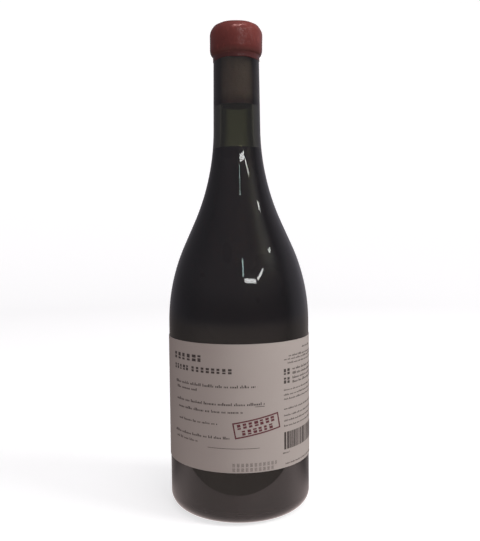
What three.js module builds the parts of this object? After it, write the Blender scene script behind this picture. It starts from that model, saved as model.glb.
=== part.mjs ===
// A corked wine bottle with a dipped wax seal, its wine and a paper label that goes most of the way round.
// Millimetres. The origin is the centre of the plane that the foot stands on, +Z is up, the label faces -Y.

import * as THREE from "three";

// Facets round every turned piece. The pieces share the number, so that their flats face each other.
const FACETS = 48;

// Steps along the arcs of a profile
const SHOULDER_STEPS = 7;
const CORNER_STEPS = 5;
const PUNT_STEPS = 7;

// Clearance between pieces that touch on the real bottle
const CLEARANCE = 0.3;

// Glass, outside. The shoulder is a round arc, a straight slope and a hollow arc that runs into the neck.
const BODY_RADIUS = 42.75;
const FOOT_OUTER_RADIUS = 34.3;
const FOOT_INNER_RADIUS = 31;
const HEEL_HEIGHT = 8.2;
const SHOULDER_START = 111.9;
const SHOULDER_ROUND_RADIUS = 113;
const SHOULDER_HOLLOW_RADIUS = 140.5;
const SHOULDER_SLOPE = THREE.MathUtils.degToRad(24.2);
const NECK_RADIUS = 13.74;
const NECK_TAPER = 0.011;
const PUNT_DEPTH = 22;

// Glass, collar and mouth
const COLLAR_UNDERSIDE = 272.2;
const COLLAR_BEVEL = 1;
const COLLAR_RADIUS = 14.6;
const COLLAR_TOP = 283;
const MOUTH_HEIGHT = 288.5;
const LIP_RADIUS = 10.4;
const BORE_RADIUS = 9.25;
const BORE_TAPER = 0.008;

// Glass, inside
const WALL = 3.4;
const NECK_WALL = 4.4;
const INNER_HEEL_HEIGHT = 13;
const INNER_VALLEY_RADIUS = 33.5;
const INNER_VALLEY_HEIGHT = 5.5;
const INNER_PUNT_HEIGHT = 26.5;

// Wine and cork
const WINE_LEVEL = 216.8;
const CORK_BOTTOM = 241.7;
const CORK_CHAMFER = 0.8;

// Wax seal, outside
const WAX_RIM = 268.8;
const WAX_SKIRT_WALL = 0.4;
const WAX_FLARE_START = 271.9;
const WAX_RADIUS = 15.9;
const WAX_SIDE_START = 276;
const WAX_DOME_START = 283.7;
const WAX_TOP = 292.6;
const WAX_DOME_SQUARENESS = 2.3;
const WAX_DOME_STEPS = 9;

// Label
const LABEL_BOTTOM = 31.5;
const LABEL_TOP = 104.1;
const LABEL_CLEARANCE = 0.15;
const LABEL_THICKNESS = 0.25;
const LABEL_FACETS = 30;
const LABEL_ANGLE = 2 * Math.PI * LABEL_FACETS / FACETS;

// A profile is a list of points (radius, height) from the axis back to the axis.
function point(radius, height) {
  return new THREE.Vector2(radius, height);
}

// Part of an ellipse round a centre, angles in degrees from the outward direction.
function corner(centre, reach, from, to, steps) {
  const points = [];
  for (let step = 0; step <= steps; step += 1) {
    const angle = THREE.MathUtils.degToRad(from + (to - from) * step / steps);
    points.push(point(centre.x + reach.x * Math.cos(angle), centre.y + reach.y * Math.sin(angle)));
  }
  return points;
}

// A smooth hill round the axis, level at its top and at its foot: the punt and the floor above it.
function hill(footRadius, footHeight, topHeight) {
  const points = [];
  for (let step = 0; step <= PUNT_STEPS; step += 1) {
    const share = step / PUNT_STEPS;
    const rise = (topHeight - footHeight) * (1 + Math.cos(Math.PI * share)) / 2;
    points.push(point(footRadius * share, footHeight + rise));
  }
  return points;
}

// The shoulder and neck of a wall, from the end of the straight body up to the given height.
function shoulder(wall, top) {
  const slope = SHOULDER_SLOPE;
  const tangent = Math.tan(slope);
  const lean = Math.atan(wall.taper);
  const roundEnd = point(
    wall.bodyRadius - wall.roundRadius * (1 - Math.cos(slope)),
    SHOULDER_START + wall.roundRadius * Math.sin(slope),
  );
  const hollowDrop = wall.hollowRadius * (Math.cos(lean) - Math.cos(slope));
  const hollowRise = wall.hollowRadius * (Math.sin(slope) - Math.sin(lean));
  const neckFoot = wall.neckRadius + wall.taper * (wall.neckTop - hollowRise);
  const hollowHeight = (roundEnd.x + tangent * roundEnd.y - hollowDrop - neckFoot) / (tangent - wall.taper);
  const hollowStart = point(roundEnd.x - tangent * (hollowHeight - roundEnd.y), hollowHeight);

  const points = [];
  for (let step = 0; step <= SHOULDER_STEPS; step += 1) {
    const angle = slope * step / SHOULDER_STEPS;
    const inward = wall.roundRadius * (1 - Math.cos(angle));
    points.push(point(wall.bodyRadius - inward, SHOULDER_START + wall.roundRadius * Math.sin(angle)));
  }
  const reachesNeck = top > hollowStart.y + hollowRise;
  const cutAngle = Math.asin(Math.sin(slope) - Math.min(top - hollowStart.y, hollowRise) / wall.hollowRadius);
  const lastAngle = reachesNeck ? lean : cutAngle;
  for (let step = 0; step <= SHOULDER_STEPS; step += 1) {
    const angle = slope + (lastAngle - slope) * step / SHOULDER_STEPS;
    const inward = wall.hollowRadius * (Math.cos(angle) - Math.cos(slope));
    const upward = wall.hollowRadius * (Math.sin(slope) - Math.sin(angle));
    points.push(point(hollowStart.x - inward, hollowStart.y + upward));
  }
  if (reachesNeck) {
    points.push(point(wall.neckRadius + wall.taper * (wall.neckTop - top), top));
  }
  return points;
}

// A turned solid: the profile goes once round the axis, and the lathe's own axis Y becomes +Z.
function turned(profile) {
  const geometry = new THREE.LatheGeometry(profile, FACETS);
  geometry.rotateX(Math.PI / 2);
  return geometry;
}

function piece(name, geometry, look) {
  const mesh = new THREE.Mesh(geometry, new THREE.MeshStandardMaterial(look));
  mesh.name = name;
  return mesh;
}

// The two faces of the glass wall and the face of the wine, each as the values of its shoulder
const outerWall = {
  bodyRadius: BODY_RADIUS,
  roundRadius: SHOULDER_ROUND_RADIUS,
  hollowRadius: SHOULDER_HOLLOW_RADIUS,
  neckRadius: NECK_RADIUS,
  neckTop: COLLAR_UNDERSIDE,
  taper: NECK_TAPER,
};
const innerWall = {
  bodyRadius: BODY_RADIUS - WALL,
  roundRadius: SHOULDER_ROUND_RADIUS - WALL,
  hollowRadius: SHOULDER_HOLLOW_RADIUS + NECK_WALL,
  neckRadius: BORE_RADIUS,
  neckTop: MOUTH_HEIGHT,
  taper: BORE_TAPER,
};
const wineWall = {
  bodyRadius: innerWall.bodyRadius - CLEARANCE,
  roundRadius: innerWall.roundRadius - CLEARANCE,
  hollowRadius: innerWall.hollowRadius + CLEARANCE,
  neckRadius: innerWall.neckRadius - CLEARANCE,
  neckTop: MOUTH_HEIGHT,
  taper: BORE_TAPER,
};

// The inside of the foot, raised and drawn in by a clearance for the wine:
// the floor over the punt, the valley round it and the rounded heel.
function innerFoot(clearance) {
  const valleyHeight = INNER_VALLEY_HEIGHT + clearance;
  const reach = point(BODY_RADIUS - WALL - clearance - INNER_VALLEY_RADIUS, INNER_HEEL_HEIGHT - valleyHeight);
  const centre = point(INNER_VALLEY_RADIUS, INNER_HEEL_HEIGHT);
  return [
    ...hill(INNER_VALLEY_RADIUS, valleyHeight, INNER_PUNT_HEIGHT + clearance),
    ...corner(centre, reach, -90, 0, CORNER_STEPS).slice(1),
  ];
}

// The bottle: up the outside from the top of the punt to the mouth, and down the inside to the floor.
function glassBottle() {
  const heelReach = point(BODY_RADIUS - FOOT_OUTER_RADIUS, HEEL_HEIGHT);
  const lipReach = point(COLLAR_RADIUS - LIP_RADIUS, MOUTH_HEIGHT - COLLAR_TOP);
  const outside = [
    ...hill(FOOT_INNER_RADIUS, 0, PUNT_DEPTH),
    ...corner(point(FOOT_OUTER_RADIUS, HEEL_HEIGHT), heelReach, -90, 0, CORNER_STEPS),
    ...shoulder(outerWall, COLLAR_UNDERSIDE),
    point(COLLAR_RADIUS, COLLAR_UNDERSIDE + COLLAR_BEVEL),
    ...corner(point(LIP_RADIUS, COLLAR_TOP), lipReach, 0, 90, CORNER_STEPS),
  ];
  const inside = [...innerFoot(0), ...shoulder(innerWall, MOUTH_HEIGHT)].reverse();
  const look = { color: 0x22261c, roughness: 0.06, metalness: 0, transparent: true, opacity: 0.75 };
  return piece("glass_bottle", turned([...outside, ...inside]), look);
}

// The wine fills the body and the lower neck, up to the level that shows through the glass.
function redWine() {
  const profile = [...innerFoot(CLEARANCE), ...shoulder(wineWall, WINE_LEVEL), point(0, WINE_LEVEL)];
  return piece("red_wine", turned(profile), { color: 0x1b0b10, roughness: 0.05, metalness: 0 });
}

// The cork fills the bore from the mouth down, with a small chamfer at each end.
function corkStopper() {
  const top = MOUTH_HEIGHT - CLEARANCE;
  const radius = BORE_RADIUS - CLEARANCE;
  const profile = [
    point(0, CORK_BOTTOM),
    point(radius - CORK_CHAMFER, CORK_BOTTOM),
    point(radius, CORK_BOTTOM + CORK_CHAMFER),
    point(radius, top - CORK_CHAMFER),
    point(radius - CORK_CHAMFER, top),
    point(0, top),
  ];
  return piece("cork_stopper", turned(profile), { color: 0x9a7450, roughness: 0.85, metalness: 0 });
}

// The wax seal: a thin skirt on the neck, a flare out over the collar and a domed cap over the mouth.
function waxSeal() {
  const skirtInner = NECK_RADIUS + NECK_TAPER * (COLLAR_UNDERSIDE - WAX_RIM) + CLEARANCE;
  const skirtOuter = skirtInner + WAX_SKIRT_WALL;
  const collarInner = COLLAR_RADIUS + CLEARANCE;
  const capUnderside = MOUTH_HEIGHT + CLEARANCE;
  const flareCentre = point(skirtOuter, WAX_SIDE_START);
  const flareReach = point(WAX_RADIUS - skirtOuter, WAX_FLARE_START - WAX_SIDE_START);
  const lipReach = point(collarInner - LIP_RADIUS, capUnderside - COLLAR_TOP);

  const dome = [];
  for (let step = 1; step < WAX_DOME_STEPS; step += 1) {
    const angle = Math.PI / 2 * step / WAX_DOME_STEPS;
    const radius = WAX_RADIUS * Math.cos(angle) ** (2 / WAX_DOME_SQUARENESS);
    const rise = (WAX_TOP - WAX_DOME_START) * Math.sin(angle) ** (2 / WAX_DOME_SQUARENESS);
    dome.push(point(radius, WAX_DOME_START + rise));
  }
  const inside = [
    point(skirtInner, WAX_RIM),
    point(skirtInner, COLLAR_UNDERSIDE - CLEARANCE),
    point(collarInner, COLLAR_UNDERSIDE + COLLAR_BEVEL - CLEARANCE),
    ...corner(point(LIP_RADIUS, COLLAR_TOP), lipReach, 0, 90, CORNER_STEPS),
    point(0, capUnderside),
  ].reverse();
  const outside = [
    point(skirtOuter, WAX_RIM),
    ...corner(flareCentre, flareReach, 90, 0, CORNER_STEPS),
    point(WAX_RADIUS, WAX_DOME_START),
    ...dome,
    point(0, WAX_TOP),
  ];
  return piece("wax_seal", turned([...inside, ...outside]), { color: 0x7a3a36, roughness: 0.5, metalness: 0 });
}

// The label is a thin curved sheet round the front of the body, with a bare strip of glass behind.
function paperLabel() {
  const inner = BODY_RADIUS + LABEL_CLEARANCE;
  const outer = inner + LABEL_THICKNESS;
  const from = -Math.PI / 2 - LABEL_ANGLE / 2;
  const to = from + LABEL_ANGLE;
  const sheet = new THREE.Shape();
  sheet.absarc(0, 0, outer, from, to, false);
  sheet.absarc(0, 0, inner, to, from, true);
  sheet.closePath();
  const geometry = new THREE.ExtrudeGeometry(sheet, {
    depth: LABEL_TOP - LABEL_BOTTOM,
    bevelEnabled: false,
    curveSegments: LABEL_FACETS,
  });
  const mesh = piece("paper_label", geometry, { color: 0xb8b0a4, roughness: 0.8, metalness: 0 });
  mesh.position.z = LABEL_BOTTOM;
  return mesh;
}

const group = new THREE.Group();
group.add(glassBottle(), redWine(), corkStopper(), waxSeal(), paperLabel());

export default group;
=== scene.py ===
# %% [markdown]
# # A corked wine bottle under a dipped wax seal
# The bottle stands upright on a pale floor: dark green glass, nearly black with red wine, a brick-red
# wax cap and one paper label that wraps most of the way round. The solid model gives the sizes and the
# frame, in metres, with +Z up and the label facing -Y. This lesson makes the fine surfaces round it.

import math
import random

import bpy
from mathutils import Matrix, Vector, noise


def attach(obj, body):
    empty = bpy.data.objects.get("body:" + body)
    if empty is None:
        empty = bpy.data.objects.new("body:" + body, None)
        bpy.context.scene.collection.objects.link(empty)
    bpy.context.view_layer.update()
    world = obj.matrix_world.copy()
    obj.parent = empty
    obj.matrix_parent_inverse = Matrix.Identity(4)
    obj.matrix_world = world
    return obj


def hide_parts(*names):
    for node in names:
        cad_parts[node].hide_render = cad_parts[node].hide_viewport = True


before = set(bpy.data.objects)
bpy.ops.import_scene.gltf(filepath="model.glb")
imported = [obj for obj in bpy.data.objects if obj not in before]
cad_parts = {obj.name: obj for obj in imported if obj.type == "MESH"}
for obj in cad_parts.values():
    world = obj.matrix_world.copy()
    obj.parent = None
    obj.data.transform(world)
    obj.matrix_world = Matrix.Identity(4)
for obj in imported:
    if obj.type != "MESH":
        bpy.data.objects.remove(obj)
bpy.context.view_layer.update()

# %% [markdown]
# ## The camera
# The photograph was taken from close by, 40 cm from the bottle's axis and a little above its middle,
# looking 3.3 degrees down. Such a short distance curves the label's edges, so the same distance,
# height and tilt are used here. The lens follows from the bottle's height in the picture.

# %% Place the camera
MM = 0.001
CAMERA_DISTANCE = 400.1 * MM
CAMERA_HEIGHT = 165.9 * MM
CAMERA_DOWN = math.radians(3.323)
CAMERA_TO_RIGHT = math.radians(0.15)
CAMERA_ROLL = math.radians(0.56)
CAMERA_LENS_MM = 43.32

forward = Vector((
    math.sin(CAMERA_TO_RIGHT) * math.cos(CAMERA_DOWN),
    math.cos(CAMERA_TO_RIGHT) * math.cos(CAMERA_DOWN),
    -math.sin(CAMERA_DOWN),
))
level_right = forward.cross(Vector((0, 0, 1))).normalized()
level_down = forward.cross(level_right)
camera_right = math.cos(CAMERA_ROLL) * level_right + math.sin(CAMERA_ROLL) * level_down
camera_up = camera_right.cross(forward)

camera = bpy.data.objects.new("camera", bpy.data.cameras.new("camera"))
camera.data.lens = CAMERA_LENS_MM
camera.data.sensor_width = 36
camera.data.clip_start = 0.01
camera_axes = Matrix((camera_right, camera_up, -forward)).transposed()
camera.matrix_world = Matrix.Translation((0, -CAMERA_DISTANCE, CAMERA_HEIGHT)) @ camera_axes.to_4x4()
bpy.context.scene.collection.objects.link(camera)
bpy.context.scene.camera = camera
bpy.context.scene.view_settings.view_transform = "Standard"
print("camera at", [round(value, 3) for value in camera.location])

# %% [markdown]
# ## Node maths as Python
# A material is a network of nodes, and its sums are easier to read as Python. The class below wraps
# one socket, and each operator adds a Math node, so that `1 - mask` or `stain * 0.3` works.

# %% A number that varies over a surface
class Tone:
    """A number that varies over a surface: a node's output that Python can do sums with."""

    def __init__(self, network, socket):
        self.network = network
        self.socket = socket

    def sum_node(self, operation, first, second):
        return self.network.add("ShaderNodeMath", {"operation": operation}, {0: first, 1: second})

    def __add__(self, other):
        return self.sum_node("ADD", self, other)

    def __radd__(self, other):
        return self.sum_node("ADD", other, self)

    def __sub__(self, other):
        return self.sum_node("SUBTRACT", self, other)

    def __rsub__(self, other):
        return self.sum_node("SUBTRACT", other, self)

    def __mul__(self, other):
        return self.sum_node("MULTIPLY", self, other)

    def __rmul__(self, other):
        return self.sum_node("MULTIPLY", other, self)


# %% [markdown]
# Every other node could be made where it is needed, in four or five lines each. Here one method makes
# them all: it sets a node's settings first and its sockets after, because some settings change which
# sockets there are. The kinds that come up often have a short method of their own.

# %% The nodes of one finish
class Network:
    """The nodes of one material or of the world, and the only place where nodes are made."""

    def __init__(self, tree):
        self.tree = tree
        tree.nodes.clear()

    def add(self, kind, settings=None, sockets=None, output=0):
        """One node: its settings first, then the values or the links of its sockets."""
        node = self.tree.nodes.new(kind)
        for name, value in (settings or {}).items():
            setattr(node, name, value)
        for name, value in (sockets or {}).items():
            if isinstance(value, Tone):
                self.tree.links.new(value.socket, node.inputs[name])
            else:
                node.inputs[name].default_value = value
        return Tone(self, node.outputs[output]) if len(node.outputs) else node

    def place(self):
        """The point on the object, in metres."""
        return self.add("ShaderNodeTexCoord", output=3)

    def parts(self, vector):
        """The three numbers of a point."""
        split = self.add("ShaderNodeSeparateXYZ", sockets={0: vector})
        return [Tone(self, socket) for socket in split.socket.node.outputs]

    def stretched(self, vector, scale):
        return self.add("ShaderNodeVectorMath", {"operation": "MULTIPLY"}, {0: vector, 1: scale})

    def cloud(self, vector, scale, detail=2.0, roughness=0.5):
        """Soft noise from 0 to 1. The scale is the number of blotches in a metre."""
        sockets = {"Vector": vector, "Scale": scale, "Detail": detail, "Roughness": roughness}
        return self.add("ShaderNodeTexNoise", None, sockets)

    def step(self, value, start, end):
        """Runs smoothly from 0 to 1 as the value goes from start to end."""
        settings = {"interpolation_type": "SMOOTHSTEP"}
        return self.add("ShaderNodeMapRange", settings, {"Value": value, "From Min": start, "From Max": end})

    def blend(self, share, first, second):
        """A colour between two colours."""
        return self.add("ShaderNodeMix", {"data_type": "RGBA"}, {0: share, 6: first, 7: second}, output=2)

    def relief(self, height, depth):
        """Fine bumps in the surface, up to the given depth in metres."""
        return self.add("ShaderNodeBump", None, {"Height": height, "Distance": depth, "Strength": 1.0})


# %% [markdown]
# Glass, wine, cork, wax, paper and ink all suit one kind of shader, with different numbers in its
# sockets. So a finish is a short function that returns those numbers by the names of the sockets, and
# reads as a list of what the surface is like.

# %% Make a finish
def finish(name, paint):
    """A new material. The paint function fills in the network and returns the shader's sockets."""
    material = bpy.data.materials.new(name)
    material.use_nodes = True
    network = Network(material.node_tree)
    shader = network.add("ShaderNodeBsdfPrincipled", None, paint(network))
    network.add("ShaderNodeOutputMaterial", None, {"Surface": shader})
    return material


# %% [markdown]
# ## The room round the bottle
# Glass shows the room more than itself. In the photograph it stands in a dim room, so its front is
# almost black, with a soft grey band on the right, where a bright wall is, and a darker left. The
# world gives those reflections. The camera itself sees only a pale floor that curves up all round.

# %% Paint the dim room
FRONT_GREY = 0.3
BACK_GREY = 0.16
RIGHT_GREY = 0.355
LEFT_GREY = 0.185
NEAR_FLOOR = 0.42
UPPER_FRONT = 0.1
UPPER_FRONT_EDGES = (0.05, 0.35)
RIGHT_WALL_AZIMUTH = math.radians(128)
RIGHT_WALL_EDGES = (0.72, 0.97)
LEFT_WALL_AZIMUTH = math.radians(-122)
LEFT_WALL_EDGES = (0.6, 0.97)
FLOOR_EDGES = (0.02, 0.2)
WALL_COLOUR = (1.0, 0.945, 1.06, 1)
FLOOR_COLOUR = (1.0, 0.86, 0.8, 1)

world = bpy.data.worlds.new("dim_room")
bpy.context.scene.world = world
world.use_nodes = True
room = Network(world.node_tree)
direction = room.add("ShaderNodeTexCoord", output=0)


def towards(azimuth):
    """1 in the level direction of a wall, less away from it."""
    wall = (math.sin(azimuth), -math.cos(azimuth), 0.05)
    return room.add("ShaderNodeVectorMath", {"operation": "DOT_PRODUCT"}, {0: direction, 1: wall}, 1)


east, north, up = room.parts(direction)
front_share = room.step(-1 * north, -0.8, 0.8)
room_grey = BACK_GREY + front_share * (FRONT_GREY - BACK_GREY)
room_grey = room_grey + front_share * room.step(up, *UPPER_FRONT_EDGES) * UPPER_FRONT
right_wall = room.step(towards(RIGHT_WALL_AZIMUTH), *RIGHT_WALL_EDGES)
room_grey = room_grey + right_wall * (RIGHT_GREY - BACK_GREY)
left_wall = room.step(towards(LEFT_WALL_AZIMUTH), *LEFT_WALL_EDGES)
room_grey = room_grey + left_wall * (LEFT_GREY - BACK_GREY)
floor_share = room.step(-1 * up, *FLOOR_EDGES)
room_grey = room_grey + floor_share * front_share * NEAR_FLOOR
room_colour = room.blend(floor_share, WALL_COLOUR, FLOOR_COLOUR)
room_light = room.add("ShaderNodeBackground", None, {"Color": room_colour, "Strength": room_grey})
room.add("ShaderNodeOutputWorld", None, {"Surface": room_light})

# %% [markdown]
# ## Floor and lamps
# A studio floor could be a plain square, but its far edge would show as a line. So one turned sheet
# runs out flat and curves up into a wall, and looks the same from every side. It is hidden from
# reflections, because a white room would turn the glass pale. A small glowing disc that only
# reflections see stands in for the lit table under the foot, as a painted reflection: bright in front
# and on the lamp's side, dim behind. The bottle is turned too, so the same helpers make both.

# %% Helpers that turn a mesh and show it
def turned_mesh(name, profile, sides):
    """Turns a list of (radius, height) points round +Z. Points on the axis become one corner."""
    corners, faces, rings = [], [], []
    for radius, height in profile:
        if radius < 1e-7:
            rings.append([len(corners)] * sides)
            corners.append((0, 0, height))
        else:
            rings.append(list(range(len(corners), len(corners) + sides)))
            for side in range(sides):
                angle = 2 * math.pi * side / sides
                corners.append((radius * math.sin(angle), -radius * math.cos(angle), height))
    for lower, upper in zip(rings, rings[1:]):
        for side in range(sides):
            after = (side + 1) % sides
            face = [lower[side], lower[after], upper[after], upper[side]]
            faces.append(list(dict.fromkeys(face)))
    mesh = bpy.data.meshes.new(name)
    mesh.from_pydata(corners, [], faces)
    mesh.update()
    return mesh


def show(name, mesh, material, crease=math.radians(35)):
    """Puts a mesh in the scene, smooth except at its sharp edges."""
    thing = bpy.data.objects.new(name, mesh)
    bpy.context.scene.collection.objects.link(thing)
    mesh.materials.append(material)
    mesh.shade_smooth()
    mesh.set_sharp_from_angle(angle=crease)
    print(name, "has", len(mesh.polygons), "faces")
    return thing


def arc(centre, reach, start, end, steps):
    """Points on part of an ellipse, angles in degrees from straight outward."""
    points = []
    for step in range(steps + 1):
        angle = math.radians(start + (end - start) * step / steps)
        points.append((centre[0] + reach[0] * math.cos(angle), centre[1] + reach[1] * math.sin(angle)))
    return points


# %% [markdown]
# A big soft lamp at the upper right lights the label from the right, and a wide one overhead lights
# the floor. A lamp could be placed by its corner and turned by three angles, but then its direction
# has to be worked out each time. Here each is given by where it is seen from the bottle.

# %% A helper that hangs a lamp
LAMP_AIM = Vector((0, 0, 0.15))


def lamp(name, azimuth, elevation, distance, size, power, colour=(1, 1, 1), roll=0.0):
    """A flat lamp that faces the bottle. Azimuth 0 is in front of the label, 90 is to its right."""
    light = bpy.data.lights.new(name, "AREA")
    light.shape = "RECTANGLE"
    light.size, light.size_y = size
    light.energy = power
    light.color = colour
    thing = bpy.data.objects.new(name, light)
    side, rise = math.radians(azimuth), math.radians(elevation)
    away = Vector((math.sin(side) * math.cos(rise), -math.cos(side) * math.cos(rise), math.sin(rise)))
    turn = away.to_track_quat("Z", "Y").to_matrix().to_4x4() @ Matrix.Rotation(math.radians(roll), 4, "Z")
    thing.matrix_world = Matrix.Translation(LAMP_AIM + away * distance) @ turn
    thing.visible_camera = False
    bpy.context.scene.collection.objects.link(thing)
    return thing


# %% Make the floor
FLOOR_RADIUS = 1.1
WALL_RADIUS = 1.8
WALL_TOP = 2.6


def floor_paint(network):
    speckle = network.cloud(network.place(), 220, 3)
    return {
        "Base Color": network.blend(speckle, (0.5, 0.5, 0.495, 1), (0.53, 0.53, 0.525, 1)),
        "Roughness": 0.9,
        "Emission Color": (1, 1, 1, 1),
        "Emission Strength": 0.66,
    }


cove_radius = WALL_RADIUS - FLOOR_RADIUS
cove_profile = [(0, 0), *arc((FLOOR_RADIUS, cove_radius), (cove_radius, cove_radius), -90, 0, 24)]
cove_profile.append((WALL_RADIUS, WALL_TOP))
cove_mesh = turned_mesh("studio_floor", cove_profile, 96)
studio_floor = show("studio_floor", cove_mesh, finish("pale_floor", floor_paint))

# %% Lay the glow under the foot
TABLE_RADIUS = 0.16
TABLE_CENTRE = (0.005, 0.076, 0)
DIM_FROM = -0.03
DIM_TO = 0.036
LAMP_SIDE_EDGES = (-0.05, 0.08)


def table_paint(network):
    east, north = network.parts(network.place())[:2]
    behind = network.step(north, DIM_FROM, DIM_TO)
    # Painted light: the glow is brighter on the key lamp's side, as the lit table would be.
    lamp_side = network.step(east, *LAMP_SIDE_EDGES)
    near = network.blend(lamp_side, (1.04, 0.87, 0.845, 1), (1.34, 1.12, 1.085, 1))
    return {
        "Base Color": (0, 0, 0, 1),
        "Emission Color": network.blend(behind, near, (0.25, 0.214, 0.21, 1)),
        "Emission Strength": 1.0,
    }


table_mesh = turned_mesh("table_glow", [(0, -MM), (TABLE_RADIUS, -MM)], 96)
table_mesh.transform(Matrix.Translation(TABLE_CENTRE))
table_glow = show("table_glow", table_mesh, finish("painted_table_reflection", table_paint))
table_glow.visible_camera = False
table_glow.visible_diffuse = False
for stage_piece in (studio_floor, table_glow):
    stage_piece.visible_shadow = False
    stage_piece.visible_transmission = False
studio_floor.visible_glossy = False
studio_floor.visible_diffuse = False

# %% Hang the two soft lamps
key_lamp = lamp("key_lamp", azimuth=70, elevation=35, distance=1.3, size=(0.5, 0.5), power=10.8)
key_lamp.visible_glossy = False
top_lamp = lamp("top_lamp", azimuth=60, elevation=80, distance=1.5, size=(1.0, 1.0), power=7.6)
top_lamp.visible_glossy = False
print("soft lamps:", key_lamp.name, top_lamp.name)

# %% [markdown]
# The small marks on the real glass are ceiling tubes far off in front and to the right. Each stands
# here in the direction that its mark is reflected from, and its power follows from its brightness
# and its area, so that a thin tube and a square panel look equally bright. They hang 5 m away: from
# much nearer, the neck would see them lower than the shoulder does, and its marks would climb. Three
# small warm lamps higher up make the bright specks on the wax.

# %% Hang the small lamps
LAMP_DISTANCE = 5.0


def bright_panel(name, azimuth, elevation, width, height, brightness, roll=0.0, colour=(1, 1, 1)):
    """A small lamp seen in the glass. Width and height are angles in degrees, as seen from the bottle."""
    size = (LAMP_DISTANCE * math.radians(width), LAMP_DISTANCE * math.radians(height))
    power = brightness * math.pi * size[0] * size[1]
    return lamp(name, azimuth, elevation, LAMP_DISTANCE, size, power, colour, roll)


bright_panel("tube_long", azimuth=21.6, elevation=22.8, width=19, height=2.9, brightness=14, roll=-5)
bright_panel(
    "tube_far", azimuth=9.2, elevation=32.1, width=1.8, height=12, brightness=9, colour=(0.75, 1.0, 1.0),
)
bright_panel("tube_right", azimuth=41.9, elevation=25.3, width=13.5, height=1.6, brightness=16, roll=22)
bright_panel("panel_right", azimuth=75, elevation=34.7, width=5, height=2.5, brightness=12)
WARM_LIGHT = (1.0, 0.6, 0.56)
CEILING_SIDE = 2.4
CEILING_LAMPS = ((-6, 56, 760), (22, 58, 640), (50, 62, 260))
for lamp_number, (azimuth, elevation, brightness) in enumerate(CEILING_LAMPS):
    ceiling_lamp = bright_panel(
        f"ceiling_lamp_{lamp_number}", azimuth, elevation, CEILING_SIDE, CEILING_SIDE, brightness,
        colour=WARM_LIGHT,
    )
    ceiling_lamp.visible_diffuse = False
print("lamps in all:", len(bpy.data.lights))

# %% [markdown]
# ## The form of the glass
# The bottle is turned, so one profile gives it all. The body goes up straight, turns in on a round
# arc, runs down a straight slope and turns up again on a hollow arc into the neck. The same rule
# makes the outer wall, the inner wall and the face of the wine, so all three stay parallel. A curve
# drawn by eye could do it too, but then no two of the walls would agree. Sizes from here on are in
# millimetres, and `MM` turns them into metres.

# %% The rule of the shoulder
SHOULDER_START = 111.9
SHOULDER_SLOPE = math.radians(24.2)
SHOULDER_STEPS = 26


def shoulder(body, round_radius, hollow_radius, neck, neck_top, taper, top):
    """Wall points from the end of the straight body up to a height, in millimetres."""
    slope, lean = SHOULDER_SLOPE, math.atan(taper)
    round_end = (
        body - round_radius * (1 - math.cos(slope)),
        SHOULDER_START + round_radius * math.sin(slope),
    )
    drop = hollow_radius * (math.cos(lean) - math.cos(slope))
    rise = hollow_radius * (math.sin(slope) - math.sin(lean))
    neck_foot = neck + taper * (neck_top - rise)
    reach = round_end[0] + math.tan(slope) * round_end[1] - drop - neck_foot
    hollow_start = reach / (math.tan(slope) - taper)
    wall_at_hollow = round_end[0] - math.tan(slope) * (hollow_start - round_end[1])
    points = []
    for step in range(SHOULDER_STEPS + 1):
        angle = slope * step / SHOULDER_STEPS
        across = body - round_radius * (1 - math.cos(angle))
        points.append((across, SHOULDER_START + round_radius * math.sin(angle)))
    last = lean
    if top < hollow_start + rise:
        last = math.asin(math.sin(slope) - (top - hollow_start) / hollow_radius)
    for step in range(SHOULDER_STEPS + 1):
        angle = slope + (last - slope) * step / SHOULDER_STEPS
        across = wall_at_hollow - hollow_radius * (math.cos(angle) - math.cos(slope))
        points.append((across, hollow_start + hollow_radius * (math.sin(slope) - math.sin(angle))))
    if top > hollow_start + rise:
        points.append((neck + taper * (neck_top - top), top))
    return points


# %% [markdown]
# Nothing shows how thick the real glass is. The inside could be left out, but light bends at both of
# its walls where the neck is clear. So a likely thickness is taken, with which the bottle holds close
# to 750 ml up to the wine's level. Neck and bore both taper, the neck a little more.

# %% Work out the walls
BODY_RADIUS = 42.75
WALL = 3.4
NECK_WALL = 4.4
ROUND_RADIUS = 113
HOLLOW_RADIUS = 140.5
NECK_RADIUS = 13.74
NECK_TAPER = 0.011
COLLAR_UNDERSIDE = 272.2
MOUTH_HEIGHT = 288.5
BORE_RADIUS = 9.25
BORE_TAPER = 0.008


def inner_wall(outward, top):
    """The inside of the glass, moved outward into the wall by some millimetres."""
    return shoulder(
        BODY_RADIUS - WALL + outward, ROUND_RADIUS - WALL + outward, HOLLOW_RADIUS + NECK_WALL - outward,
        BORE_RADIUS + outward, MOUTH_HEIGHT, BORE_TAPER, top,
    )


def in_metres(profile):
    return [(radius * MM, height * MM) for radius, height in profile]


outer_shoulder = shoulder(
    BODY_RADIUS, ROUND_RADIUS, HOLLOW_RADIUS, NECK_RADIUS, COLLAR_UNDERSIDE, NECK_TAPER, COLLAR_UNDERSIDE,
)
print("outer wall:", len(outer_shoulder), "points from", SHOULDER_START, "to", COLLAR_UNDERSIDE, "mm")

# %% [markdown]
# The foot has a deep punt, a hollow that real bottles keep from the days of hand blowing, and stands
# on a narrow ring round it. A cone would be simpler, but glass sinks in without a sharp edge. So one
# smooth rise makes both the punt and, a wall's thickness above it, the floor inside.

# %% Hollow the foot
INNER_VALLEY_RADIUS = 33.5
INNER_VALLEY_HEIGHT = 5.5
INNER_PUNT_HEIGHT = 26.5
INNER_HEEL_HEIGHT = 13.0


def hill(foot_radius, foot_height, top_height, steps=24):
    """A smooth rise round the axis, from its top out to its foot."""
    points = []
    for step in range(steps + 1):
        share = step / steps
        lift = (top_height - foot_height) * (1 + math.cos(math.pi * share)) / 2
        points.append((foot_radius * share, foot_height + lift))
    return points


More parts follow.
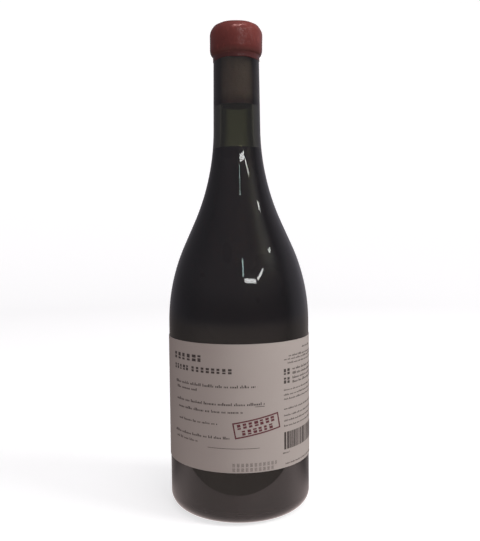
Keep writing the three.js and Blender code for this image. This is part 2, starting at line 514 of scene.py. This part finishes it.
def inner_foot(outward):
    valley = INNER_VALLEY_HEIGHT - outward
    reach = (BODY_RADIUS - WALL + outward - INNER_VALLEY_RADIUS, INNER_HEEL_HEIGHT - valley)
    floor = hill(INNER_VALLEY_RADIUS, valley, INNER_PUNT_HEIGHT - outward)
    return floor + arc((INNER_VALLEY_RADIUS, INNER_HEEL_HEIGHT), reach, -90, 0, 12)[1:]


print("inside of the foot:", len(inner_foot(0)), "points")

# %% [markdown]
# The whole wall is one line of points: from the middle of the punt out to the ring, up the outside,
# over the mouth and down the inside again. Two meshes joined at the mouth would do as well, but one
# line leaves no seam. A collar and a rounded lip sit hidden under the wax.

# %% Turn the glass
FOOT_OUTER = 34.3
FOOT_INNER = 31.0
RING_ROUNDING = 1.2
HEEL_HEIGHT = 8.2
PUNT_DEPTH = 22.0
COLLAR_RADIUS = 14.6
COLLAR_TOP = 283.0
COLLAR_BEVEL = 1
LIP_RADIUS = 10.4
GLASS_SIDES = 288

heel = arc((FOOT_OUTER, HEEL_HEIGHT), (BODY_RADIUS - FOOT_OUTER, HEEL_HEIGHT), -90, 0, 14)
lip = arc((LIP_RADIUS, COLLAR_TOP), (COLLAR_RADIUS - LIP_RADIUS, MOUTH_HEIGHT - COLLAR_TOP), 0, 90, 12)
foot_ring = [(FOOT_INNER + 0.5, 0), (FOOT_INNER + RING_ROUNDING, 0), (FOOT_OUTER - RING_ROUNDING, 0)]
outside = hill(FOOT_INNER, 0, PUNT_DEPTH) + foot_ring + heel + outer_shoulder
outside += [(COLLAR_RADIUS, COLLAR_UNDERSIDE + COLLAR_BEVEL)] + lip
inside = list(reversed(inner_foot(0) + inner_wall(0, MOUTH_HEIGHT)))
glass_mesh = turned_mesh("bottle_glass", in_metres(outside + inside), GLASS_SIDES)
print("glass profile:", len(outside), "points outside,", len(inside), "inside")

# %% [markdown]
# The ring of a moulded bottle carries a row of small knurls. They could be bumps in the finish alone,
# but the foot is seen against the floor, so real corners of the mesh are lifted.

# %% Cut the knurls
KNURLS = 72
KNURL_DEPTH = 0.3
KNURL_REACH = 36.2
KNURL_FADE = 1.5
for corner in glass_mesh.vertices:
    out_mm = math.hypot(corner.co.x, corner.co.y) / MM
    if FOOT_INNER + 0.6 < out_mm < KNURL_REACH and corner.co.z < MM:
        around = math.atan2(corner.co.x, -corner.co.y)
        groove = (1 - math.cos(KNURLS * around)) / 2
        corner.co.z += groove * KNURL_DEPTH * MM * min(1, (KNURL_REACH - out_mm) / KNURL_FADE)
print("knurls:", KNURLS, "round the foot")

# %% [markdown]
# Dark bottle glass lets a little green light through where it is seen face on, and looks black where
# light has to run along inside it. Real absorption in the depth of the glass is slow to render and
# doesn't survive an export, so the tint follows the slant of the surface: Layer Weight tells how far
# it turns from the eye. Gentle ripples in the surface come from the mould.

# %% Colour the glass
def glass_paint(network):
    place = network.place()
    ripple = network.cloud(network.stretched(place, (1, 1, 0.35)), 38, 2)
    smear = network.cloud(place, 55, 4, 0.6)
    slant = network.add("ShaderNodeLayerWeight", None, {"Blend": 0.5}, 1)
    face_on = network.blend(smear, (0.335, 0.35, 0.22, 1), (0.36, 0.375, 0.24, 1))
    return {
        "Base Color": network.blend(network.step(slant, 0.06, 0.34), face_on, (0.022, 0.022, 0.02, 1)),
        "Roughness": 0.025 + smear * 0.03,
        "IOR": 1.5,
        "Transmission Weight": 1.0,
        "Normal": network.relief(ripple, 0.00012),
    }


bottle_glass = show("bottle_glass", glass_mesh, finish("dark_green_glass", glass_paint))
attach(bottle_glass, "root")
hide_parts("glass_bottle")

# %% [markdown]
# ## The wine
# Wine touches the glass, so light goes from one straight into the other with no bright gap between
# them. The wine's surface is therefore made half a millimetre inside the wall. Red wine this deep
# can't be seen through, so it could be clear and dark, which is slow, or opaque and dark, which looks
# the same. It is opaque here. Its top creeps a little up the glass all round.

# %% Fill the bottle
WINE_LEVEL = 216.8
INTO_WALL = 0.5
MENISCUS = 1.4
MENISCUS_WIDTH = 2.6
MENISCUS_STEPS = 12

wine_side = inner_foot(INTO_WALL) + inner_wall(INTO_WALL, WINE_LEVEL)
rim_radius = wine_side[-1][0]
wine_top = []
for step in range(1, MENISCUS_STEPS + 1):
    inward = MENISCUS_WIDTH * step / MENISCUS_STEPS
    dip = MENISCUS * (1 - math.exp(-3 * inward / MENISCUS_WIDTH))
    wine_top.append((rim_radius - inward, WINE_LEVEL - dip))
wine_top.append((0, wine_top[-1][1]))


def wine_paint(network):
    cloudiness = network.cloud(network.place(), 30, 2)
    return {
        "Base Color": network.blend(cloudiness, (0.009, 0.004, 0.007, 1), (0.014, 0.006, 0.0105, 1)),
        "Roughness": 0.25 + cloudiness * 0.05,
        "Specular IOR Level": 0.1,
    }


wine_mesh = turned_mesh("wine_in_bottle", in_metres(wine_side + wine_top), 160)
wine_in_bottle = show("wine_in_bottle", wine_mesh, finish("dark_wine", wine_paint))
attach(wine_in_bottle, "root")
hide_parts("red_wine")

# %% [markdown]
# ## The cork
# The cork shows as a duller, browner stretch of the neck, pressed against the glass. It reaches into
# the wall like the wine. Cork has a fine grain with small dark pores, and the end near the wine is
# stained. The pits are both real corners moved inward by noise, for the outline, and fine relief in
# the finish, because pores this small would need far too many faces.

# %% Shape the cork
CORK_BOTTOM = 241.7
CORK_INTO_WALL = 0.35
CORK_CHAMFER = 0.8
CORK_END_RINGS = 8
CORK_SIDE_RINGS = 40
CORK_BELOW_MOUTH = 0.3
cork_top = MOUTH_HEIGHT - CORK_BELOW_MOUTH


def cork_radius(height):
    """The cork's side, just inside the glass wall, in millimetres."""
    return BORE_RADIUS + CORK_INTO_WALL + BORE_TAPER * (MOUTH_HEIGHT - height)


cork_profile = [(0, CORK_BOTTOM)]
for step in range(1, CORK_END_RINGS + 1):
    cork_profile.append(((BORE_RADIUS - CORK_CHAMFER) * step / CORK_END_RINGS, CORK_BOTTOM))
cork_profile.append((cork_radius(CORK_BOTTOM), CORK_BOTTOM + CORK_CHAMFER))
for step in range(1, CORK_SIDE_RINGS + 1):
    rise = (cork_top - CORK_BOTTOM - 2 * CORK_CHAMFER) * step / CORK_SIDE_RINGS
    height = CORK_BOTTOM + CORK_CHAMFER + rise
    cork_profile.append((cork_radius(height), height))
cork_profile += [(BORE_RADIUS - CORK_CHAMFER, cork_top), (0, cork_top)]
cork_mesh = turned_mesh("cork_in_neck", in_metres(cork_profile), 128)
print("cork:", round(cork_top - CORK_BOTTOM, 1), "mm long")

# %% Pit the cork's side
PITS_PER_METRE = 900
PIT_DEPTH = 0.25
for corner in cork_mesh.vertices:
    across = Vector((corner.co.x, corner.co.y, 0))
    if across.length > (BORE_RADIUS - CORK_CHAMFER / 2) * MM:
        pit = max(0, noise.noise(corner.co * PITS_PER_METRE) - 0.2)
        corner.co -= across.normalized() * pit * PIT_DEPTH * MM


def cork_paint(network):
    place = network.place()
    up = network.parts(place)[2]
    grain = network.cloud(network.stretched(place, (1, 1, 3)), 420, 4, 0.65)
    pore_sockets = {"Vector": place, "Scale": 900}
    pores = network.step(network.add("ShaderNodeTexVoronoi", None, pore_sockets), 0.08, 0.24)
    stain = 1 - network.step(up, (CORK_BOTTOM + 0.5) * MM, (CORK_BOTTOM + 9) * MM)
    dry = network.blend(grain, (0.17, 0.132, 0.14, 1), (0.23, 0.184, 0.196, 1))
    pitted = network.blend(0.4 + pores * 0.6, (0.09, 0.065, 0.06, 1), dry)
    return {
        "Base Color": network.blend(stain * 0.85, pitted, (0.05, 0.022, 0.024, 1)),
        "Roughness": 0.85,
        "Normal": network.relief(pores, 0.0002),
    }


cork_in_neck = show("cork_in_neck", cork_mesh, finish("natural_cork", cork_paint))
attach(cork_in_neck, "root")
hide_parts("cork_stopper")

# %% [markdown]
# ## The wax seal
# The neck was dipped in melted wax and turned upright. The wax is thick over the mouth, bulges over
# the collar, and ends in a thin skirt with an uneven edge on the neck. Sculpting it by hand would
# give the same form, but no sizes. So it is turned first, on the same sizes as the glass below it.

# %% Dip the neck in wax
WAX_RIM = 268.8
WAX_FLARE_START = 271.9
WAX_RADIUS = 15.9
WAX_SIDE_START = 276.0
WAX_DOME_START = 283.7
WAX_TOP = 292.6
WAX_SQUARENESS = 2.3
WAX_SIDES = 192
SKIRT_THICKNESS = 0.25
COLLAR_FIT = 0.05
NECK_FIT = 0.02
DOME_RINGS = 28
SIDE_RINGS = 6

glass_at_rim = NECK_RADIUS + NECK_TAPER * (COLLAR_UNDERSIDE - WAX_RIM)
skirt = glass_at_rim + SKIRT_THICKNESS
neck_side = glass_at_rim + NECK_FIT
lining_reach = (COLLAR_RADIUS + COLLAR_FIT - LIP_RADIUS, MOUTH_HEIGHT + COLLAR_FIT - COLLAR_TOP)
wax_profile = [(0, MOUTH_HEIGHT + COLLAR_FIT)]
wax_profile += list(reversed(arc((LIP_RADIUS, COLLAR_TOP), lining_reach, 0, 90, 8)))
wax_profile.append((COLLAR_RADIUS + COLLAR_FIT, COLLAR_UNDERSIDE + COLLAR_BEVEL))
wax_profile += [(neck_side, COLLAR_UNDERSIDE), (neck_side, WAX_RIM + 0.2)]
wax_profile += arc((neck_side, WAX_RIM + SKIRT_THICKNESS), (SKIRT_THICKNESS, SKIRT_THICKNESS), -90, 0, 5)
for inward, below in ((0, 2.2), (0, 1.2), (0.06, 0.6), (0.18, 0.2)):
    wax_profile.append((skirt + inward, WAX_FLARE_START - below))
flare_reach = (WAX_RADIUS - skirt, WAX_FLARE_START - WAX_SIDE_START)
wax_profile += arc((skirt, WAX_SIDE_START), flare_reach, 78, 0, 16)
for step in range(1, SIDE_RINGS + 1):
    height = WAX_SIDE_START + (WAX_DOME_START - WAX_SIDE_START) * step / SIDE_RINGS
    wax_profile.append((WAX_RADIUS, height))
for step in range(1, DOME_RINGS):
    turn = math.pi / 2 * step / DOME_RINGS
    out = WAX_RADIUS * math.cos(turn) ** (2 / WAX_SQUARENESS)
    rise = (WAX_TOP - WAX_DOME_START) * math.sin(turn) ** (2 / WAX_SQUARENESS)
    wax_profile.append((out, WAX_DOME_START + rise))
wax_profile.append((0, WAX_TOP))
wax_mesh = turned_mesh("wax_cap", in_metres(wax_profile), WAX_SIDES)
print("wax profile:", len(wax_profile), "points")

# %% [markdown]
# Melted wax sets unevenly: the skirt's edge waves up and down, the sides are lumpy, and the top sinks
# a little in front. Each is a small move of the corners by smooth noise. The same point always gives
# the same number, so the wax comes out alike on each run.

# %% Let the wax run
EDGE_WAVE = 0.7 * MM
EDGE_REACH = 3 * MM
WAVES_ROUND = 1.7
WAVE_SHIFT = Vector((3.1, 0.4, 0))
LUMPS = 0.16 * MM
LUMPS_PER_METRE = 160
TOP_LUMPS_PER_METRE = 120
TOP_LUMP_SHIFT = Vector((9, 2, 0))
SLUMP = 0.5 * MM
SLUMP_WIDTH = 8 * MM
SLUMP_START = 6 * MM
above_mouth = (MOUTH_HEIGHT + 1) * MM
for corner in wax_mesh.vertices:
    across = Vector((corner.co.x, corner.co.y, 0))
    outward = across.normalized() if across.length > 0 else Vector((0, 0, 0))
    near_rim = max(0, 1 - (corner.co.z - WAX_RIM * MM) / EDGE_REACH)
    outer_face = across.length > skirt * MM - 0.1 * MM or corner.co.z > above_mouth
    wave = noise.noise(outward * WAVES_ROUND + WAVE_SHIFT)
    corner.co.z += near_rim ** 2 * wave * EDGE_WAVE
    if outer_face:
        lump = noise.noise(corner.co * LUMPS_PER_METRE) - 0.45
        corner.co += outward * lump * LUMPS * (1 - near_rim)
        if corner.co.z > WAX_DOME_START * MM:
            top_lump = noise.noise(corner.co * TOP_LUMPS_PER_METRE + TOP_LUMP_SHIFT) - 0.6
            corner.co.z += top_lump * LUMPS
        if corner.co.z > above_mouth:
            in_front = min(1, max(0, -corner.co.y / SLUMP_START))
            corner.co.z -= SLUMP * in_front * math.exp(-((corner.co.x / SLUMP_WIDTH) ** 2))

# %% [markdown]
# Brick-red wax is satin, not glossy, with pale scuffs where it was handled. Its skirt is so thin that
# the dark glass shows through, so the red turns nearly black towards the edge. The darkening goes on
# up over the flare as painted shade, where the wax faces down. The upper wax is lightened as painted
# light from above. One flat red would look like plastic: here noise mixes two reds, and height mixes
# in the painted top light and the dark edge.

# %% Colour the wax
def wax_paint(network):
    place = network.place()
    up = network.parts(place)[2]
    mottle = network.cloud(place, 110, 4, 0.6)
    scuff = network.step(network.cloud(network.stretched(place, (1, 1, 0.4)), 420, 3), 0.56, 0.7)
    # Darker towards the lower edge: the thin skirt over dark glass, and painted shade up over the flare,
    # which faces down.
    thin_skirt_and_painted_shade = 1 - network.step(up, (WAX_RIM + 0.5) * MM, (WAX_RIM + 8) * MM)
    # Painted light: the wax turns lighter from its side up over the dome, as if lit from above.
    painted_top_light = network.step(up, WAX_SIDE_START * MM, (WAX_DOME_START + 2) * MM)
    red = network.blend(mottle, (0.096, 0.0225, 0.02, 1), (0.132, 0.0305, 0.0255, 1))
    # The pale red carries the real scuffs and the painted top light together.
    scuffed_and_top_lit = network.blend(scuff * 0.2 + painted_top_light * 0.26, red, (0.28, 0.068, 0.056, 1))
    return {
        "Base Color": network.blend(thin_skirt_and_painted_shade * 0.75, scuffed_and_top_lit, (0.045, 0.017, 0.017, 1)),
        "Roughness": 0.19 + mottle * 0.09,
        "Specular IOR Level": 0.2,
        "Normal": network.relief(network.cloud(place, 260, 2) + mottle, 0.0002),
    }


wax_cap = show("wax_cap", wax_mesh, finish("dipped_red_wax", wax_paint))
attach(wax_cap, "root")
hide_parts("wax_seal")

# %% [markdown]
# ## The label
# One sheet of uncoated paper is glued round the front and both sides, and leaves a strip of glass
# bare at the back. A flat sheet could be bent by a modifier, but here each corner is placed on the
# bend at once, as a thin closed sheet. All printing is placed in the same way, by two lengths: how
# far round from the middle of the front, and how high above the table.

# %% Helpers that bend a sheet
PAPER_OUTSIDE = BODY_RADIUS + 0.33
STRIP_WIDTH = 1.2
ROW_HEIGHT = 6


def on_label(round_mm, height_mm, radius):
    angle = round_mm / PAPER_OUTSIDE
    return (radius * math.sin(angle) * MM, -radius * math.cos(angle) * MM, height_mm * MM)


def bent_sheet(corners, faces, low, high, inner, outer):
    """Adds a closed thin sheet to the lists. Low and high are its (round, height) corners."""
    columns = max(1, math.ceil((high[0] - low[0]) / STRIP_WIDTH))
    rows = max(1, math.ceil((high[1] - low[1]) / ROW_HEIGHT))
    start = len(corners)
    for radius in (outer, inner):
        for row in range(rows + 1):
            for column in range(columns + 1):
                across = low[0] + (high[0] - low[0]) * column / columns
                up = low[1] + (high[1] - low[1]) * row / rows
                corners.append(on_label(across, up, radius))
    stride = columns + 1
    layer = stride * (rows + 1)
    for row in range(rows):
        for column in range(columns):
            first = start + row * stride + column
            front = [first, first + 1, first + stride + 1, first + stride]
            faces.append(front)
            faces.append([index + layer for index in reversed(front)])
    edge = [start + column for column in range(columns + 1)]
    edge += [start + row * stride + columns for row in range(1, rows + 1)]
    edge += [start + rows * stride + column for column in range(columns - 1, -1, -1)]
    edge += [start + row * stride for row in range(rows - 1, 0, -1)]
    for first, second in zip(edge, edge[1:] + edge[:1]):
        faces.append([second, first, first + layer, second + layer])


def sheet_mesh(name, corners, faces):
    mesh = bpy.data.meshes.new(name)
    mesh.from_pydata(corners, [], faces)
    mesh.update()
    return mesh


# %% [markdown]
# The label keeps to the straight part of the body, because paper can't follow the curve of the
# shoulder or of the heel. It lies a hair's breadth off the glass, which stands for the glue.

# %% Bend the label
LABEL_BOTTOM = 31.5
LABEL_TOP = 104.1
LABEL_HALF_ANGLE = math.radians(112.5)
GLUE_GAP = 0.02
label_half = LABEL_HALF_ANGLE * PAPER_OUTSIDE
label_corners, label_faces = [], []
bent_sheet(
    label_corners, label_faces, (-label_half, LABEL_BOTTOM), (label_half, LABEL_TOP),
    BODY_RADIUS + GLUE_GAP, PAPER_OUTSIDE,
)
label_mesh = sheet_mesh("label_sheet", label_corners, label_faces)
print("label:", round(2 * label_half, 1), "by", round(LABEL_TOP - LABEL_BOTTOM, 1), "mm")

# %% [markdown]
# Uncoated paper is dull and a little warm, with fibres that run level and faint blotches of tone.
# A photograph of paper could be laid on it, but two scales of noise do the same and never repeat.

# %% Make the paper
def paper_paint(network):
    place = network.place()
    fibres = network.cloud(network.stretched(place, (1, 1, 0.5)), 1400, 4, 0.7)
    blotch = network.cloud(place, 45, 3)
    pale = network.blend(blotch, (0.37, 0.33, 0.305, 1), (0.405, 0.368, 0.34, 1))
    return {
        "Base Color": network.blend(fibres * 0.25, pale, (0.34, 0.31, 0.285, 1)),
        "Roughness": 0.75 + fibres * 0.15,
        "Specular IOR Level": 0.25,
        "Normal": network.relief(fibres, 0.00005),
    }


label_sheet = show("label_sheet", label_mesh, finish("uncoated_paper", paper_paint))
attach(label_sheet, "root")
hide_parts("paper_label")

# %% [markdown]
# ## The printing
# Small print reads from a step away as rows of short dark marks. So it is set here as small upright
# blocks of uneven width and height, with gaps between groups of them, and spells nothing. The ink
# could be painted in the paper's finish, but blocks of real mesh keep their edges at any size. Each
# is a closed sheet, a few hundredths of a millimetre thick, that sits on the paper.

# %% Helpers that set blocks
INK_OUTSIDE = PAPER_OUTSIDE + 0.035
INK_INSIDE = PAPER_OUTSIDE - 0.02
printer = random.Random(7)
black_corners, black_faces = [], []
red_corners, red_faces = [], []


def black_block(left, right, low, high):
    bent_sheet(black_corners, black_faces, (left, low), (right, high), INK_INSIDE, INK_OUTSIDE)


def set_line(left, right, base, tall, block=black_block):
    """Fills one line of the label with blocks, from left to right, in millimetres."""
    across = left
    marks_left = printer.randint(3, 9)
    while across < right:
        wide = tall * printer.uniform(0.2, 0.42)
        rise = tall * printer.choice((0.52, 0.58, 0.58, 0.95))
        block(across, min(across + wide, right), base, base + rise)
        across += wide + tall * 0.22
        marks_left -= 1
        if marks_left == 0:
            across += tall * 0.55
            marks_left = printer.randint(3, 9)


def set_heading(left, marks, pitch, base, tall, block=black_block):
    """Large marks: a row of blocks, each cut in two by a level slit at a height that varies."""
    for mark in range(marks):
        across = left + mark * pitch
        wide = pitch * printer.uniform(0.5, 0.7)
        slit = tall * printer.choice((0.3, 0.42, 0.42, 0.55))
        block(across, across + wide, base, base + slit)
        block(across, across + wide, base + slit + tall * 0.14, base + tall)


# %% Set the front of the label
set_heading(left=-45.4, marks=6, pitch=4.1, base=93.4, tall=3.8)
set_heading(left=-45.2, marks=5, pitch=2.8, base=87.5, tall=2.9)
set_heading(left=-29.4, marks=8, pitch=3.3, base=87.5, tall=2.9)
for left, right, base, tall in (
    (-44.0, 10.3, 79.6, 1.7),
    (-42.8, -25.7, 76.6, 1.6),
    (-43.1, 14.3, 69.6, 1.7),
    (-41.4, 1.7, 65.3, 1.7),
    (-41.1, -12.9, 58.5, 1.5),
    (-45.2, -4.9, 50.6, 1.6),
    (-43.9, -25.6, 47.3, 1.5),
):
    set_line(left, right, base, tall)
black_block(left=8.6, right=14.3, low=68.7, high=69.0)
black_block(left=-18.9, right=11.1, low=45.2, high=45.45)

# %% Dot two rows at the bottom of the label
DOT_PITCH = 0.5
DOT_ROW_PITCH = 0.52
DOT_SIZE = 0.3
DOT_ROWS = 4
GROUP_COLUMNS = 5
DOTTED_COLUMNS = 3
for base, left, right in ((35.0, -4.3, 22.0), (32.3, -4.3, 20.0)):
    for column in range(int((right - left) / DOT_PITCH)):
        if column % GROUP_COLUMNS < DOTTED_COLUMNS:
            for row in range(DOT_ROWS):
                across = left + column * DOT_PITCH
                above = base + row * DOT_ROW_PITCH
                black_block(across, across + DOT_SIZE, above, above + DOT_SIZE)

# %% Set the right side of the label
SIDE_RIGHT = 61.0
set_line(left=44.0, right=56.0, base=98.8, tall=1.1)
for base, left in ((95.2, 30.9), (93.4, 27.2), (91.2, 30.0)):
    set_line(left, SIDE_RIGHT, base, 1.1)
for base in (85.0, 80.0):
    set_heading(left=27.0, marks=2, pitch=2.7, base=base, tall=3.4)
for base in (87.2, 84.6, 82.0, 79.6):
    set_line(34.0, SIDE_RIGHT, base, 1.5)
for base in (75.9, 73.1, 70.6, 65.0, 61.2, 58.2, 55.2):
    set_line(27.0, SIDE_RIGHT, base, 1.1)
set_line(left=26.0, right=31.5, base=39.6, tall=1.0)
set_line(left=28.0, right=58.0, base=33.2, tall=1.0)

# %% Draw the bars
BARS_LEFT = 27.0
BARS_RIGHT = 62.0
BARS_LOW = 42.0
BARS_HIGH = 52.0
BAR_WIDTHS = (0.6, 0.6, 1.0, 1.5)
BAR_GAPS = (0.4, 0.4, 0.7)
across = BARS_LEFT
while across < BARS_RIGHT:
    wide = printer.choice(BAR_WIDTHS)
    black_block(across, across + wide, BARS_LOW, BARS_HIGH)
    across += wide + printer.choice(BAR_GAPS)
print("bars and marks:", len(black_faces), "faces")

# %% [markdown]
# Ink on rough paper is never even: it skips the hollows between the fibres. The finish mixes the
# full colour with a paler one through fine noise. Both inks of this label use it.

# %% Ink the label
def ink_paint(colour, faded):
    def paint(network):
        wear = network.cloud(network.place(), 1500, 3, 0.6)
        return {
            "Base Color": network.blend(network.step(wear, 0.45, 0.75), colour, faded),
            "Roughness": 0.6,
            "Normal": network.relief(wear, 0.00002),
        }
    return paint


black_ink = finish("black_ink", ink_paint((0.035, 0.028, 0.026, 1), (0.09, 0.078, 0.07, 1)))
label_print = show("label_print", sheet_mesh("label_print", black_corners, black_faces), black_ink)
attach(label_print, "root")
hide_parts("paper_label")

# %% [markdown]
# Right of the middle sits a rubber stamp in dark red, a frame turned by ten degrees with two rows of
# plain marks in it. It is laid out level and then turned, as a hand stamp would be. Turning a bent
# mesh would lift it off the glass, so each corner is turned on the flat first and bent round after.

# %% Press the stamp
STAMP_MIDDLE = (9.95, 57.7)
STAMP_SIZE = (27.4, 9.2)
STAMP_TILT = math.radians(10.1)


def tilted_block(left, right, low, high):
    """A stamp mark, given round the middle of the stamp, as strips that follow the bend of the glass."""
    columns = max(1, math.ceil((right - left) / STRIP_WIDTH))
    start = len(red_corners)
    for radius in (INK_OUTSIDE, INK_INSIDE):
        for up in (low, high):
            for column in range(columns + 1):
                across = left + (right - left) * column / columns
                turned_across = across * math.cos(STAMP_TILT) - up * math.sin(STAMP_TILT)
                turned_up = across * math.sin(STAMP_TILT) + up * math.cos(STAMP_TILT)
                round_mm = STAMP_MIDDLE[0] + turned_across
                red_corners.append(on_label(round_mm, STAMP_MIDDLE[1] + turned_up, radius))
    stride = columns + 1
    for column in range(columns):
        low_out = start + column
        high_out, low_in, high_in = low_out + stride, low_out + 2 * stride, low_out + 3 * stride
        red_faces.append((low_out, low_out + 1, high_out + 1, high_out))
        red_faces.append((low_in, high_in, high_in + 1, low_in + 1))
        red_faces.append((low_out, low_in, low_in + 1, low_out + 1))
        red_faces.append((high_out, high_out + 1, high_in + 1, high_in))
    for end in (start, start + columns):
        side = (end, end + stride, end + 3 * stride, end + 2 * stride)
        red_faces.append(side if end == start else tuple(reversed(side)))


# %% Ink the stamp
RULE = 0.8
CORNER_GAP = 0.03
half_wide, half_tall = STAMP_SIZE[0] / 2, STAMP_SIZE[1] / 2
side_half = half_tall - RULE - CORNER_GAP
tilted_block(-half_wide, half_wide, half_tall - RULE, half_tall)
tilted_block(-half_wide, half_wide, -half_tall, -half_tall + RULE)
tilted_block(-half_wide, -half_wide + RULE, -side_half, side_half)
tilted_block(half_wide - RULE, half_wide, -side_half, side_half)
set_heading(left=-11.3, marks=7, pitch=3.3, base=0.4, tall=2.9, block=tilted_block)
set_heading(left=-9.2, marks=6, pitch=3.2, base=-3.3, tall=2.7, block=tilted_block)
red_ink = finish("red_stamp_ink", ink_paint((0.085, 0.013, 0.021, 1), (0.17, 0.06, 0.068, 1)))
stamp_print = show("stamp_print", sheet_mesh("stamp_print", red_corners, red_faces), red_ink)
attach(stamp_print, "root")
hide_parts("paper_label")
